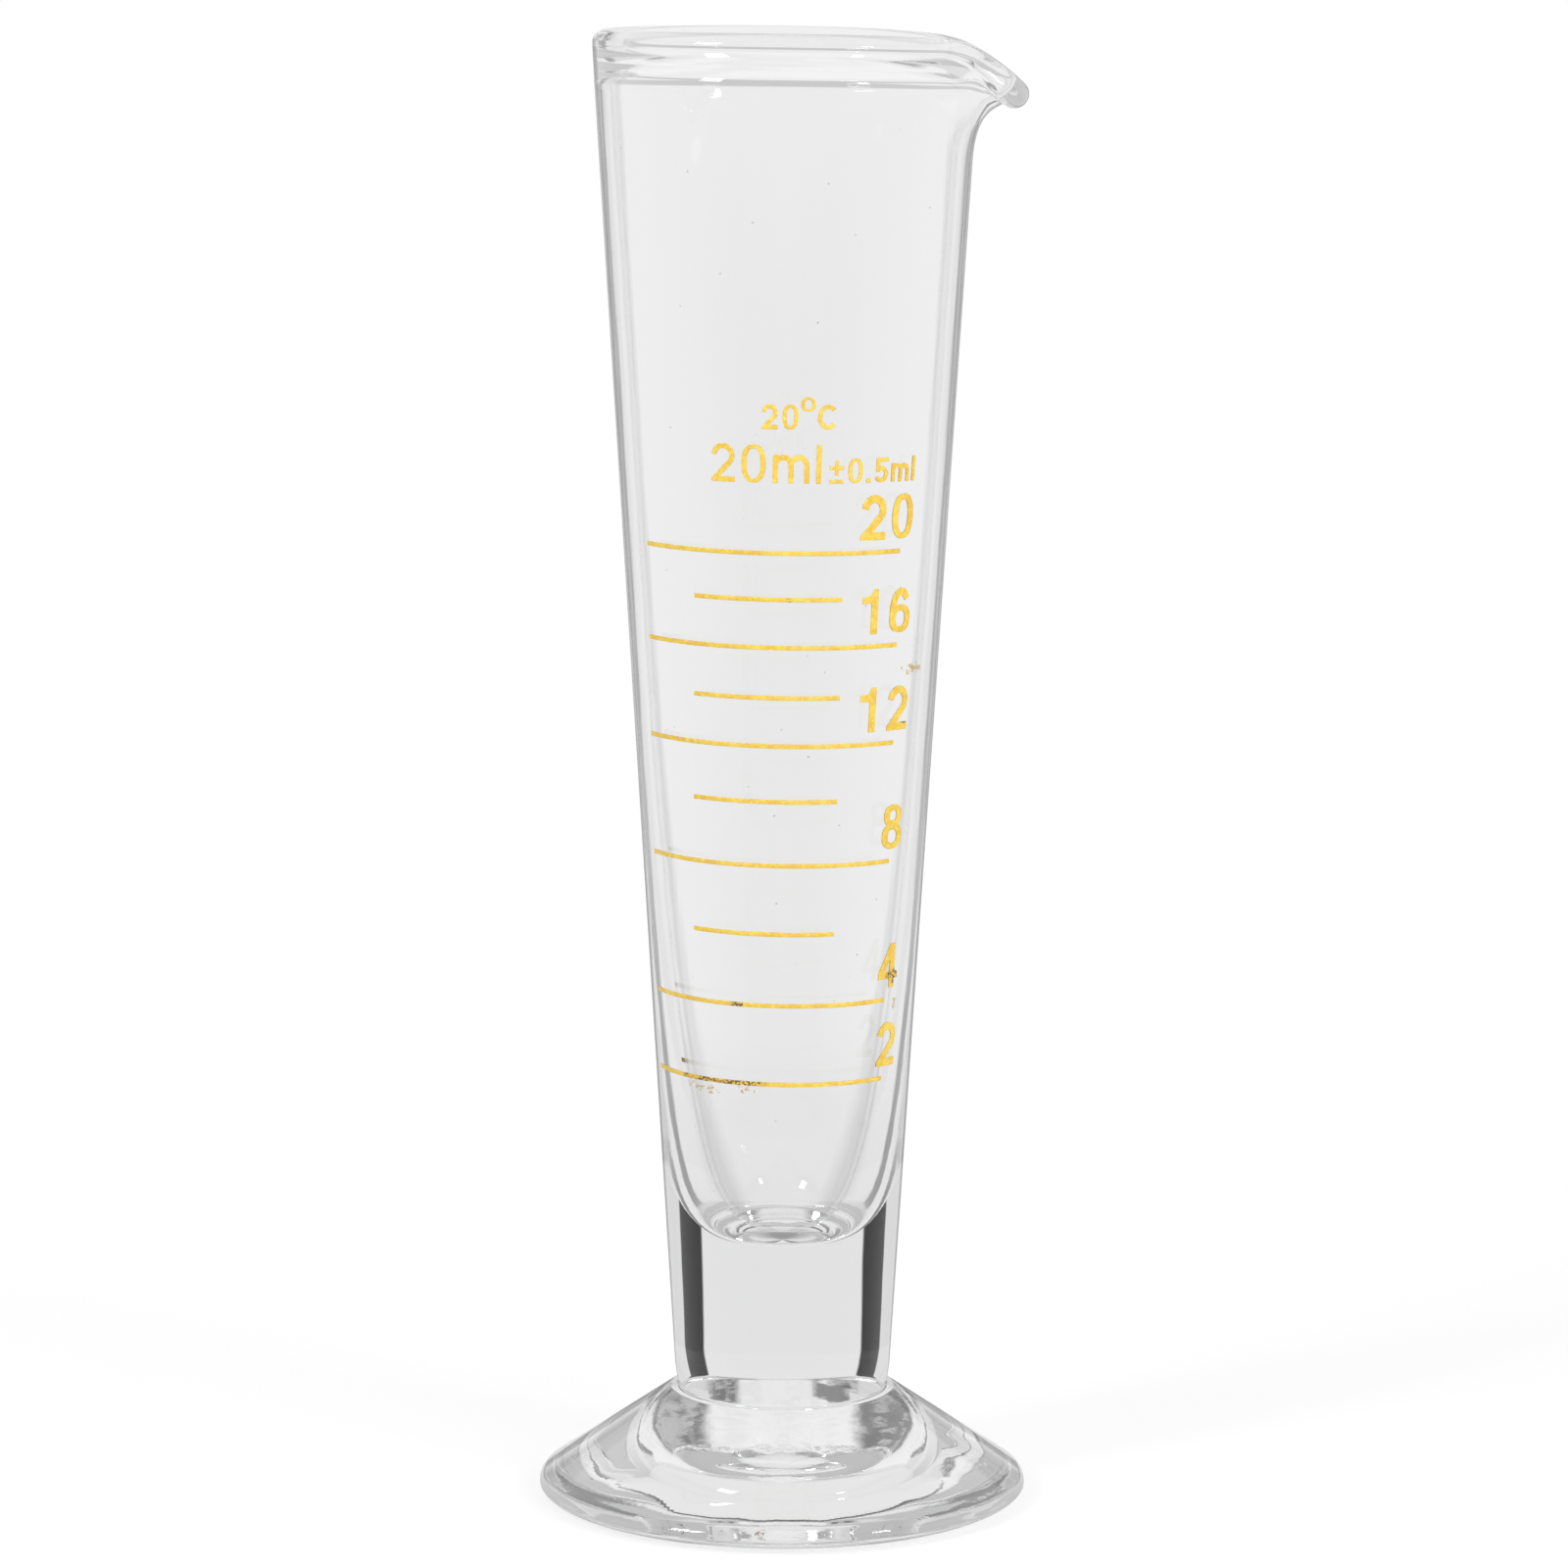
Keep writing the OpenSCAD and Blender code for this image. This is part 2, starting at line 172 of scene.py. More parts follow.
class GlassSizes(bpy.types.PropertyGroup):
    """Sizes of the cone, its rim and its cavity."""

    height: length("Height", "From the table to the top of the rim", CAD_HIGH.z / MM)
    mouth: length("Mouth", "Outside diameter at the rim", 33.7)
    stem: length("Stem", "Diameter of the cone where it would meet the foot", 18.8)
    wall: length("Wall", "Thickness of the wall", 1.35)
    stem_draw: length("Stem draw", "How far the end of the stem is drawn in", 0.25)
    stem_draw_height: length("Stem draw height", "Height over which it is drawn in", 2.5)
    cavity: length("Cavity", "Height of the bottom of the cavity", 23.5)
    thicken: length("Thickening", "Height below which the wall grows thicker", 100)
    thicken_power: share("Thickening power", "How late the wall grows thicker", 4)
    bottom_power: share("Bottom power", "How blunt the bottom of the cavity is", 4.5)
    bead: length("Bead", "Diameter of the melted bead round the rim", 2.6)
    lip_height: length("Lip height", "Height of the lip below the rim", 11.3)
    lip_reach: length("Lip reach", "How far the tip reaches out past the rim", 4.2)
    lip_drop: length("Lip drop", "How far the tip hangs below the rim", 3.4)
    lip_turn: length("Lip turn", "Height that the wall climbs before it turns out", 3.9)
    lip_run: length("Lip run", "Length of the flat run behind the tip", 2.8)
    lip_climb: length("Lip climb", "Height that the flat run climbs", 1)
    lip_half: turn("Lip half angle", "Angle at which the lip has almost run out", 14)
    dip: length("Rim dip", "How far the side of the rim with the lip dips", 0.75)
    ripple: length("Ripple", "Depth of the waves in the hand-drawn wall", 0.02)


class FootSizes(bpy.types.PropertyGroup):
    """Sizes of the pressed foot."""

    collar: length("Collar", "Diameter of the collar at the top of the foot", 20.4)
    collar_round: length("Collar round", "Radius of the shoulder of the collar", 0.6)
    edge: length("Edge", "Height of the edge, where the foot is widest", 1.1)
    edge_round: length("Edge round", "Radius of the edge above its widest point", 1.3)
    contact: length("Contact ring", "Outer diameter of the ring on the table", 36)
    hollow: length("Hollow", "Diameter of the hollow under the foot", 23.5)
    hollow_height: length("Hollow height", "Height of the hollow under the foot", 2)
    hollow_power: share("Hollow power", "How square the hollow is", 10)
    ripple: length("Ripple", "Depth of the waves that the mould left in the foot", 0.05)


class EnamelSizes(bpy.types.PropertyGroup):
    """Sizes of the fired scale."""

    line: length("Line", "Width of a line", 0.4)
    long_line: length("Long line", "Length of the top line round the glass", 24.7)
    short_line: length("Short line", "Length of a plain line at the height of the top line", 13.2)
    narrowing: bpy.props.FloatProperty(
        name="Narrowing",
        description="Share of their length that the lines lose with each millimetre down the glass",
        default=0.001,
        precision=4,
    )
    shift: length("Shift", "How far the top line lies from the front, round the glass", -1.5)
    lean: turn("Lean", "How far the whole printed scale leans", 0.83)
    film: length("Film", "How far the enamel stands out of the glass", 0.07)
    root: length("Root", "How far the enamel has fired into the glass", 0.05)
    ragged: length("Ragged edge", "How far the edges of the print wander", 0.035)


class StudioSizes(bpy.types.PropertyGroup):
    """Camera and light."""

    distance: length("Camera distance", "From the axis of the glass, on the level", 519.2)
    rise: length("Camera height", "Above the table", 140.9)
    pitch: turn("Camera pitch", "How far the camera looks down", 8.46)
    roll: turn("Camera roll", "How far the camera is rolled", 0.17)
    lens: bpy.props.FloatProperty(
        name="Lens", description="Focal length", default=0.137475, unit="LENGTH", precision=5
    )


class GlassColours(bpy.types.PropertyGroup):
    """Colours of the glass, the enamel and the studio."""

    glass: tint("Glass", "Tint of thick glass", (0.9, 0.9, 0.905))
    amber: tint("Amber", "Main colour of the enamel", (0.62, 0.45, 0.065))
    deep: tint("Deep amber", "Colour where the enamel lies thick", (0.54, 0.34, 0.035))
    pale: tint("Pale amber", "Colour where the enamel lies thin", (0.74, 0.58, 0.2))
    scorch: tint("Scorch", "Colour of the scuffed and burnt spots", (0.11, 0.06, 0.02))
    table: tint("Table", "Colour of the table", (0.9, 0.9, 0.9))


class Wire:
    """An output in a node tree that takes part in plain arithmetic."""

    def __init__(self, sheet, socket):
        self.sheet = sheet
        self.socket = socket

    def math(self, operation, *others):
        """This output put through a math node."""
        return self.sheet.math(operation, self, *others)

    def __add__(self, other):
        return self.math("ADD", other)

    def __radd__(self, other):
        return self.sheet.math("ADD", other, self)

    def __sub__(self, other):
        return self.math("SUBTRACT", other)

    def __rsub__(self, other):
        return self.sheet.math("SUBTRACT", other, self)

    def __mul__(self, other):
        return self.math("MULTIPLY", other)

    def __rmul__(self, other):
        return self.sheet.math("MULTIPLY", other, self)

    def __truediv__(self, other):
        return self.math("DIVIDE", other)

    def __pow__(self, other):
        return self.math("POWER", other)

    def __neg__(self):
        return self.math("MULTIPLY", -1)


class Sheet:
    """Adds nodes to one tree."""

    def __init__(self, tree):
        self.tree = tree

    def find(self, sockets, key):
        """The socket with this index, identifier or name."""
        if isinstance(key, int):
            return sockets[key]
        for socket in sockets:
            if key == socket.identifier:
                return socket
        for socket in sockets:
            if key == socket.name and socket.enabled:
                return socket
        raise KeyError(f"no socket {key}")

    def node(self, kind, settings=None, values=None, output=0):
        """Adds a node, sets it up, fills its sockets and returns one of its outputs."""
        made = self.tree.nodes.new(kind)
        for name, value in (settings or {}).items():
            if name == "stops":
                self.set_stops(made.color_ramp, value)
            else:
                setattr(made, name, value)
        pairs = values.items() if isinstance(values, dict) else enumerate(values or ())
        for key, value in pairs:
            socket = self.find(made.inputs, key)
            if isinstance(value, Wire):
                self.tree.links.new(value.socket, socket)
            else:
                socket.default_value = value
        if output is None:
            return made
        return Wire(self, self.find(made.outputs, output))

    def set_stops(self, ramp, stops):
        """Sets the places and colours of a colour ramp."""
        while len(ramp.elements) < len(stops):
            ramp.elements.new(1)
        for element, (place, value) in zip(ramp.elements, stops):
            element.position = place
            element.color = value

    def math(self, operation, *values):
        """The result of a math node."""
        return self.node("ShaderNodeMath", {"operation": operation}, list(values))

    def vector(self, operation, *values, output=0):
        """The result of a vector math node."""
        return self.node("ShaderNodeVectorMath", {"operation": operation}, list(values), output)

    def scale(self, vector, factor):
        """A vector times a number."""
        values = {0: vector, "Scale": factor}
        return self.node("ShaderNodeVectorMath", {"operation": "SCALE"}, values)

    def noise(self, place, scale, detail, roughness=0.5, stretch=None, output=0):
        """Noise with this many cells to a metre. A stretch below 1 draws the cells out that way."""
        if stretch:
            place = self.vector("MULTIPLY", place, stretch)
        values = {"Vector": place, "Scale": scale, "Detail": detail, "Roughness": roughness}
        return self.node("ShaderNodeTexNoise", None, values, output)

    def blend(self, factor, low, high):
        """Mixes two colours."""
        settings = {"data_type": "RGBA"}
        values = {"Factor_Float": factor, "A_Color": low, "B_Color": high}
        return self.node("ShaderNodeMix", settings, values, "Result_Color")

    def blend_vector(self, factor, low, high):
        """Mixes two vectors."""
        settings = {"data_type": "VECTOR"}
        values = {"Factor_Float": factor, "A_Vector": low, "B_Vector": high}
        return self.node("ShaderNodeMix", settings, values, "Result_Vector")

    def split(self, vector):
        """The three parts of a vector."""
        return [self.node("ShaderNodeSeparateXYZ", None, [vector], i) for i in range(3)]

    def join(self, x, y, z):
        """A vector from its three parts."""
        return self.node("ShaderNodeCombineXYZ", None, [x, y, z])

    def step(self, value, low, high):
        """0 below low, 1 above high, smooth between."""
        values = {"Value": value, "From Min": low, "From Max": high}
        return self.node("ShaderNodeMapRange", {"interpolation_type": "SMOOTHSTEP"}, values)


SOCKET_TYPES = {
    "geometry": "NodeSocketGeometry",
    "float": "NodeSocketFloat",
    "integer": "NodeSocketInt",
    "material": "NodeSocketMaterial",
}


class GeometrySheet(Sheet):
    """A geometry node tree with named inputs."""

    def __init__(self, name, inputs):
        super().__init__(bpy.data.node_groups.new(name, "GeometryNodeTree"))
        face = self.tree.interface
        face.new_socket("Geometry", in_out="INPUT", socket_type=SOCKET_TYPES["geometry"])
        for label, kind in inputs.items():
            face.new_socket(label, in_out="INPUT", socket_type=SOCKET_TYPES[kind])
        face.new_socket("Geometry", in_out="OUTPUT", socket_type=SOCKET_TYPES["geometry"])
        self.start = self.tree.nodes.new("NodeGroupInput")

    def input(self, label):
        """A named input of the tree."""
        return Wire(self, self.start.outputs[label])

    def attribute(self, name, data_type):
        """A named attribute of the mesh."""
        settings = {"data_type": data_type}
        return self.node("GeometryNodeInputNamedAttribute", settings, {"Name": name})

    def finish(self, geometry):
        """Realizes the instances, sets the material and closes the tree."""
        geometry = self.node("GeometryNodeRealizeInstances", None, [geometry])
        values = {"Geometry": geometry, "Material": self.input("Material")}
        geometry = self.node("GeometryNodeSetMaterial", None, values)
        end = self.tree.nodes.new("NodeGroupOutput")
        self.tree.links.new(geometry.socket, end.inputs["Geometry"])


def settled(start, sheet, values):
    """Runs the tree on an object and returns the result as a plain mesh object."""
    modifier = start.modifiers.new("Shape", "NODES")
    modifier.node_group = sheet.tree
    for item in sheet.tree.interface.items_tree:
        if item.item_type == "SOCKET" and item.in_out == "INPUT" and item.name in values:
            modifier[item.identifier] = values[item.name]
    graph = bpy.context.evaluated_depsgraph_get()
    mesh = bpy.data.meshes.new_from_object(start.evaluated_get(graph))
    mesh.name = start.name
    start.modifiers.remove(modifier)
    return mesh


def new_object(name, data):
    """Adds an object with this data to the scene."""
    made = bpy.data.objects.new(name, data)
    bpy.context.scene.collection.objects.link(made)
    return made


def make_piece(name, mesh, slot, *nodes):
    """Adds a finished piece that rides on the glass and stands for these nodes."""
    piece = new_object(name, mesh)
    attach(piece, "root")
    if nodes:
        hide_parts(*nodes)
    return piece


def curve_arc(centre, rx, ry, start, end, steps):
    """Points on an ellipse's arc, angles in degrees."""
    points = []
    for i in range(steps + 1):
        angle = math.radians(start + (end - start) * i / steps)
        points.append((centre[0] + rx * math.cos(angle), centre[1] + ry * math.sin(angle)))
    return points


class GlassShape:
    """The design rules of the glass. Its points are pairs of radius and height."""

    # How far the sheet of the lip is carried on down the plain wall
    PLAIN_RUN = 6 * MM

    def __init__(self, glass, foot):
        self.glass = glass
        self.foot = foot
        self.foot_height = FOOT_HIGH.z
        self.foot_radius = FOOT_HIGH.x
        self.slope = (glass.mouth - glass.stem) / 2 / (glass.height - self.foot_height)
        self.bead_radius = glass.bead / 2
        self.bead_z = glass.height - self.bead_radius
        self.lip_z = glass.height - glass.lip_height
        root = self.straight_wall(0)
        tip_r = self.cone_radius(self.bead_z) - self.bead_radius + glass.lip_reach
        tip = (tip_r, self.bead_z - glass.lip_drop)
        self.lip_path = (
            root,
            (root[0] + self.slope * glass.lip_turn, root[1] + glass.lip_turn),
            (tip[0] - glass.lip_run, tip[1] - glass.lip_climb),
            tip,
        )

    def cone_radius(self, z):
        """Outside radius of the cone at a height."""
        return self.glass.stem / 2 + self.slope * (z - self.foot_height)

    def cavity_radius(self, z):
        """Inside radius at a height. The wall grows thicker towards the round bottom."""
        glass = self.glass
        below = max(glass.thicken - z, 0) / (glass.thicken - glass.cavity)
        fullness = (1 - min(below, 1) ** glass.thicken_power) ** (1 / glass.bottom_power)
        return (self.cone_radius(z) - glass.wall) * fullness

    def straight_wall(self, u):
        """Middle of the plain wall: -1 below the lip, 0 where the lip begins, 1 in the bead."""
        z = self.lip_z + u * (self.PLAIN_RUN if u < 0 else self.bead_z - self.lip_z)
        return (self.cone_radius(z) - self.glass.wall / 2, z)

    def bent_wall(self, u):
        """The same at the middle of the lip, where a Bezier curve leads the wall out to the tip."""
        if u <= 0:
            return self.straight_wall(u)
        weights = ((1 - u) ** 3, 3 * u * (1 - u) ** 2, 3 * u * u * (1 - u), u**3)
        return tuple(sum(w * p[i] for w, p in zip(weights, self.lip_path)) for i in (0, 1))

    def foot_outline(self):
        """From the middle of the hollow, round the edge and up to the collar."""
        foot = self.foot
        edge_centre = (self.foot_radius - foot.edge_round, foot.edge)
        collar_centre = (
            foot.collar / 2 - foot.collar_round,
            self.foot_height - foot.collar_round,
        )
        run = (collar_centre[0] - edge_centre[0], collar_centre[1] - edge_centre[1])
        lean = math.degrees(math.atan2(run[1], run[0]))
        lean -= math.degrees(math.acos((foot.edge_round - foot.collar_round) / math.hypot(*run)))
        under = []
        for i in range(HOLLOW_STEPS + 1):
            out = 1 - (1 - i / HOLLOW_STEPS) ** 2
            under.append((foot.hollow / 2 * out, foot.hollow_height * (1 - out**foot.hollow_power)))
        contact = foot.contact / 2
        reach = self.foot_radius - contact
        under_edge = curve_arc((contact, foot.edge), reach, foot.edge, -90, 0, EDGE_STEPS)
        edge = curve_arc(edge_centre, foot.edge_round, foot.edge_round, 0, lean, EDGE_STEPS)
        collar_round = foot.collar_round
        collar = curve_arc(collar_centre, collar_round, collar_round, lean, 90, COLLAR_STEPS)
        slope = spaced(edge[-1], collar[0], SLOPE_STEPS)[1:-1]
        return under + under_edge + edge[1:] + slope + collar

    def stem_outline(self):
        """From the foot up the end of the stem, which is drawn in towards the foot."""
        glass = self.glass
        points = []
        for i in range(STEM_STEPS + 1):
            z = self.foot_height + glass.stem_draw_height * i / STEM_STEPS
            points.append((self.cone_radius(z) - glass.stem_draw * (1 - i / STEM_STEPS) ** 2, z))
        return points

    def cavity_outline(self):
        """From the plain mouth down to the bottom of the cavity."""
        glass = self.glass
        top = self.lip_z - self.PLAIN_RUN
        points = []
        for i in range(CAVITY_STEPS, -1, -1):
            z = glass.cavity + (top - glass.cavity) * (i / CAVITY_STEPS) ** CAVITY_CROWDING
            points.append((self.cavity_radius(z), z))
        return points


def spaced(start, end, steps):
    """Even points on the straight between two points, both ends included."""
    return [tuple(a + (b - a) * i / steps for a, b in zip(start, end)) for i in range(steps + 1)]


def profile_rows(shape):
    """Rows of the turned glass, from under the foot, up the outside and down the cavity.

    A row holds its place on the plain side of the glass and at the middle of the lip, the same a
    little lower, and how far the surface lies off that sheet.
    """
    glass = shape.glass
    half = glass.wall / 2
    rows = []

    def turned(points):
        for r, z in points:
            lower = (r, z - PROBE_DROP)
            rows.append(dict(flat=(r, z), bent=(r, z), flat_low=lower, bent_low=lower))

    def sheet(u, **offsets):
        low = u - PROBE_SHARE
        rows.append(
            dict(
                flat=shape.straight_wall(u),
                bent=shape.bent_wall(u),
                flat_low=shape.straight_wall(low),
                bent_low=shape.bent_wall(low),
                dip=glass.dip * max(u, 0) ** 2,
                dip_low=glass.dip * max(low, 0) ** 2,
                **offsets,
            )
        )

    turned(shape.foot_outline())
    stem = shape.stem_outline()
    turned(stem)
    top = shape.lip_z - shape.PLAIN_RUN
    turned(spaced(stem[-1], (shape.cone_radius(top), top), CONE_STEPS)[1:-1])
    soft_from = LIP_STEPS - SOFT_LIP_ROWS
    for i in range(JOIN_STEPS + 1):
        sheet(-1 + i / JOIN_STEPS, across=half)
    for i in range(1, LIP_STEPS + 1):
        sheet(OUTER_END * i / LIP_STEPS, across=half, soften=float(i > soft_from))
    for i in range(BEAD_STEPS + 1):
        soft = min(i, BEAD_STEPS - i) < SOFT_BEAD_ROWS
        sheet(1, bead=i / BEAD_STEPS, soften=float(soft))
    for i in range(LIP_STEPS, 0, -1):
        sheet(INNER_END * i / LIP_STEPS, across=-half, soften=float(i > soft_from))
    for i in range(JOIN_STEPS, -1, -1):
        sheet(-1 + i / JOIN_STEPS, across=-half)
    turned(shape.cavity_outline()[1:])
    return rows


# Attributes of a row that are plain numbers, and what they are where a row doesn't say. A bead
# below 0 means that the row isn't on the bead.
ROW_NUMBERS = {"across": 0, "dip": 0, "dip_low": 0, "bead": -1, "soften": 0}


def profile_mesh(rows):
    """The rows as loose points whose attributes the tree reads."""
    mesh = bpy.data.meshes.new("glass profile")
    mesh.vertices.add(len(rows))
    for name in ("flat", "bent", "flat_low", "bent_low"):
        layer = mesh.attributes.new(name, "FLOAT_VECTOR", "POINT")
        for i, row in enumerate(rows):
            layer.data[i].vector = (row[name][0], 0, row[name][1])
    for name, default in ROW_NUMBERS.items():
        layer = mesh.attributes.new(name, "FLOAT", "POINT")
        for i, row in enumerate(rows):
            layer.data[i].value = row.get(name, default)
    return mesh


GLASS_INPUTS = {
    "Rows": "integer",
    "Cuts": "integer",
    "Lip Angle": "float",
    "Wall": "float",
    "Bead Radius": "float",
    "Ripple": "float",
    "Foot Ripple": "float",
    "Foot Height": "float",
    "Material": "material",
}


# Cells to a metre of the foot's waves, outward from the axis
RING_SCALE = 300


def glass_tree():
    """Turns the profile round the axis and bends the mouth out into the lip."""
    t = GeometrySheet("Turned glass", GLASS_INPUTS)
    profile = t.input("Geometry")
    rows, cuts = t.input("Rows"), t.input("Cuts")
    values = {"Size X": 1, "Size Y": 1, "Vertices X": rows, "Vertices Y": cuts + 1}
    grid = t.node("GeometryNodeFlipFaces", None, [t.node("GeometryNodeMeshGrid", None, values)])
    x, y, z = t.split(t.node("GeometryNodeInputPosition"))
    row = ((x + 0.5) * (rows - 1)).math("ROUND")
    even = (y + 0.5) * (2 * math.pi) - math.pi
    angle = even - CUT_CROWDING * even.math("SINE")

    def along_row(name, data_type):
        """An attribute of the row that a point of the grid belongs to."""
        settings = {"data_type": data_type, "domain": "POINT"}
        values = {"Geometry": profile, "Value": t.attribute(name, data_type), "Index": row}
        return t.node("GeometryNodeSampleIndex", settings, values)

    def hill(angle, half):
        """1 at the middle of the lip and almost 0 at twice this half angle."""
        return (-1 * (angle / half) ** 2).math("EXPONENT")

    def place(flat, bent, dip, angle):
        """A point of the sheet at an angle round the axis."""
        lip = t.input("Lip Angle")
        weight = hill(angle, lip)
        r, _, height = t.split(t.blend_vector(weight, flat, bent))
        height = height - dip * hill(angle, lip * DIP_SPREAD)
        return t.join(r * angle.math("COSINE"), r * angle.math("SINE"), height)

    flat, bent = along_row("flat", "FLOAT_VECTOR"), along_row("bent", "FLOAT_VECTOR")
    low = along_row("flat_low", "FLOAT_VECTOR"), along_row("bent_low", "FLOAT_VECTOR")
    dip, dip_low = along_row("dip", "FLOAT"), along_row("dip_low", "FLOAT")
    here = place(flat, bent, dip, angle)
    left = place(flat, bent, dip, angle - PROBE_TURN)
    right = place(flat, bent, dip, angle + PROBE_TURN)
    under = place(low[0], low[1], dip_low, angle)
    round_way = t.vector("NORMALIZE", t.vector("SUBTRACT", right, left))
    up_way = t.vector("NORMALIZE", t.vector("SUBTRACT", here, under))
    out_way = t.vector("NORMALIZE", t.vector("CROSS_PRODUCT", round_way, up_way))
    bead_up = t.vector("CROSS_PRODUCT", out_way, round_way)

    wall, bead_radius = t.input("Wall"), t.input("Bead Radius")
    bead = along_row("bead", "FLOAT")
    on_bead = bead.math("GREATER_THAN", -0.5)
    inset = (1 - hill(angle, t.input("Lip Angle"))) * (bead_radius - wall / 2)
    bead_start = -1 * ((wall / 2 + inset) / bead_radius).math("ARCCOSINE")
    bead_angle = bead_start + (BEAD_END - bead_start) * bead
    bead_out = bead_radius * bead_angle.math("COSINE") - inset
    bead_rise = on_bead * bead_radius * bead_angle.math("SINE")
    across = along_row("across", "FLOAT")
    out = across + on_bead * (bead_out - across)
    spot = t.vector("ADD", here, t.scale(out_way, out))
    spot = t.vector("ADD", spot, t.scale(bead_up, bead_rise))
    soften = along_row("soften", "FLOAT")
    grid = t.node(
        "GeometryNodeStoreNamedAttribute",
        {"data_type": "FLOAT", "domain": "POINT"},
        {"Geometry": grid, "Name": "soften", "Value": soften},
    )
    shaped = t.node("GeometryNodeSetPosition", None, {"Geometry": grid, "Position": spot})
    shaped = t.node("GeometryNodeMergeByDistance", None, {"Geometry": shaped, "Distance": 1e-6})
    values = {
        "Value": t.node("GeometryNodeInputPosition"),
        "Iterations": SOFT_PASSES,
        "Weight": t.attribute("soften", "FLOAT"),
    }
    settings = {"data_type": "FLOAT_VECTOR"}
    blurred = t.node("GeometryNodeBlurAttribute", settings, values, "Value")
    shaped = t.node("GeometryNodeSetPosition", None, {"Geometry": shaped, "Position": blurred})

    # The waves only ever go inward, so that the glass stays inside its solid
    spot = t.node("GeometryNodeInputPosition")
    drawn = t.noise(spot, scale=140.0, detail=1.0, stretch=(1, 1, 0.25))
    flat = t.vector("MULTIPLY", spot, (1, 1, 0))
    values = {
        "Vector": t.vector("NORMALIZE", flat),
        "W": t.vector("LENGTH", flat, output="Value") * RING_SCALE,
        "Scale": 3.0,
        "Detail": 1.0,
    }
    pressed = t.node("ShaderNodeTexNoise", {"noise_dimensions": "4D"}, values)
    z = t.split(spot)[2]
    foot_height = t.input("Foot Height")
    on_foot = 1 - t.step(z, foot_height * 0.6, foot_height)
    depth = (drawn - 1) * t.input("Ripple") + (pressed - 1) * on_foot * t.input("Foot Ripple")
    push = t.scale(t.node("GeometryNodeInputNormal"), depth)
    shaped = t.node("GeometryNodeSetPosition", None, {"Geometry": shaped, "Offset": push})
    shaped = t.node("GeometryNodeSetShadeSmooth", None, {"Geometry": shaped})
    t.finish(shaped)
    return t


LINE_POINTS = 220

# Cells to a metre and detail of the ragged edge of the print
PRINT_NOISE = {"scale": 2600.0, "detail": 3.0}

LINE_INPUTS = {
    "Height": "float",
    "Length": "float",
    "Width": "float",
    "Shift": "float",
    "Lean": "float",
    "Film": "float",
    "Root": "float",
    "Ragged": "float",
    "Radius": "float",
    "Slope": "float",
    "Seed": "float",
    "Material": "material",
}


# Moves the two edges of a line to places of the noise that have nothing in common
EDGE_SHIFT = 0.01


def line_tree():
    """Lays one line of the scale round the cone, with the ragged edge of a print."""
    t = GeometrySheet("Fired line", LINE_INPUTS)
    half = t.input("Length") / 2
    start, end = t.join(-half, 0, 0), t.join(half, 0, 0)
    values = {"Start": start, "End": end}
    path = t.node("GeometryNodeCurvePrimitiveLine", {"mode": "POINTS"}, values)
    values = {"Curve": path, "Count": LINE_POINTS}
    path = t.node("GeometryNodeResampleCurve", {"mode": "COUNT"}, values)
    thick = t.input("Film") + t.input("Root")
    section = t.node(
        "GeometryNodeCurvePrimitiveQuadrilateral",
        {"mode": "RECTANGLE"},
        {"Width": t.input("Width"), "Height": thick},
    )
    values = {"Curve": section, "Radius": thick * 0.45, "Limit Radius": True, "Count": 3}
    section = t.node("GeometryNodeFilletCurve", {"mode": "POLY"}, values)
    values = {"Curve": path, "Profile Curve": section, "Fill Caps": True}
    bar = t.node("GeometryNodeCurveToMesh", None, values)
    along, side, depth = t.split(t.node("GeometryNodeInputPosition"))

    edge = side.math("SIGN")
    wander = t.noise(t.join(along, edge * EDGE_SHIFT, t.input("Seed")), **PRINT_NOISE)
    side = side + edge * (wander - 0.5) * t.input("Ragged")
    round_way = along + t.input("Shift")
    height = t.input("Height") + side - round_way * t.input("Lean").math("SINE")
    radius = t.input("Radius") + height * t.input("Slope")
    angle = round_way / radius
    reach = radius + depth + (t.input("Film") - t.input("Root")) / 2
    spot = t.join(reach * angle.math("SINE"), -1 * reach * angle.math("COSINE"), height)
    laid = t.node("GeometryNodeSetPosition", None, {"Geometry": bar, "Position": spot})
    t.finish(t.node("GeometryNodeSetShadeSmooth", None, {"Geometry": laid}))
    return t


WORD_INPUTS = {"Ragged": "float", "Material": "material"}


def word_tree():
    """Gives the letters of the scale the ragged edge and the relief of a fired print."""
    t = GeometrySheet("Fired letters", WORD_INPUTS)
    wander = t.noise(t.node("GeometryNodeInputPosition"), **PRINT_NOISE, output="Color")
    push = t.scale(t.vector("SUBTRACT", wander, (0.5, 0.5, 0.5)), t.input("Ragged"))
    values = {"Geometry": t.input("Geometry"), "Offset": push}
    moved = t.node("GeometryNodeSetPosition", None, values)
    t.finish(t.node("GeometryNodeSetShadeSmooth", None, {"Geometry": moved}))
    return t


def new_material(name):
    """An empty material and the sheet of its node tree."""
    material = bpy.data.materials.new(name)
    material.use_nodes = True
    material.node_tree.nodes.clear()
    return material, Sheet(material.node_tree)


def ray(t, fact):
    """What the light path node knows about a ray."""
    return t.node("ShaderNodeLightPath", output=fact)


def glow(t, colour):
    """Light of this colour."""
    return t.node("ShaderNodeEmission", None, {"Color": colour, "Strength": 1.0})


DIRT_COLOUR = (0.35, 0.34, 0.33, 1)
CRUMB_COLOUR = (0.6, 0.36, 0.07, 1)

# Glossy and transmission depths that lie between two counts of turns or passes. Beyond the
# caught depth a ray won't leave the glass, and the glass glows soft gray there as painted light.
# Beyond the mirrored depth the enamel is only a reflection of a reflection, and its colour is
# painted soft gray there as a painted reflection. A ray through solid glass passes two faces and
# is never mirrored.
CAUGHT_DEPTH = 3.5
MIRRORED_DEPTH = 2.5
SOLID_DEPTH = 2.5
UNMIRRORED_DEPTH = 0.5


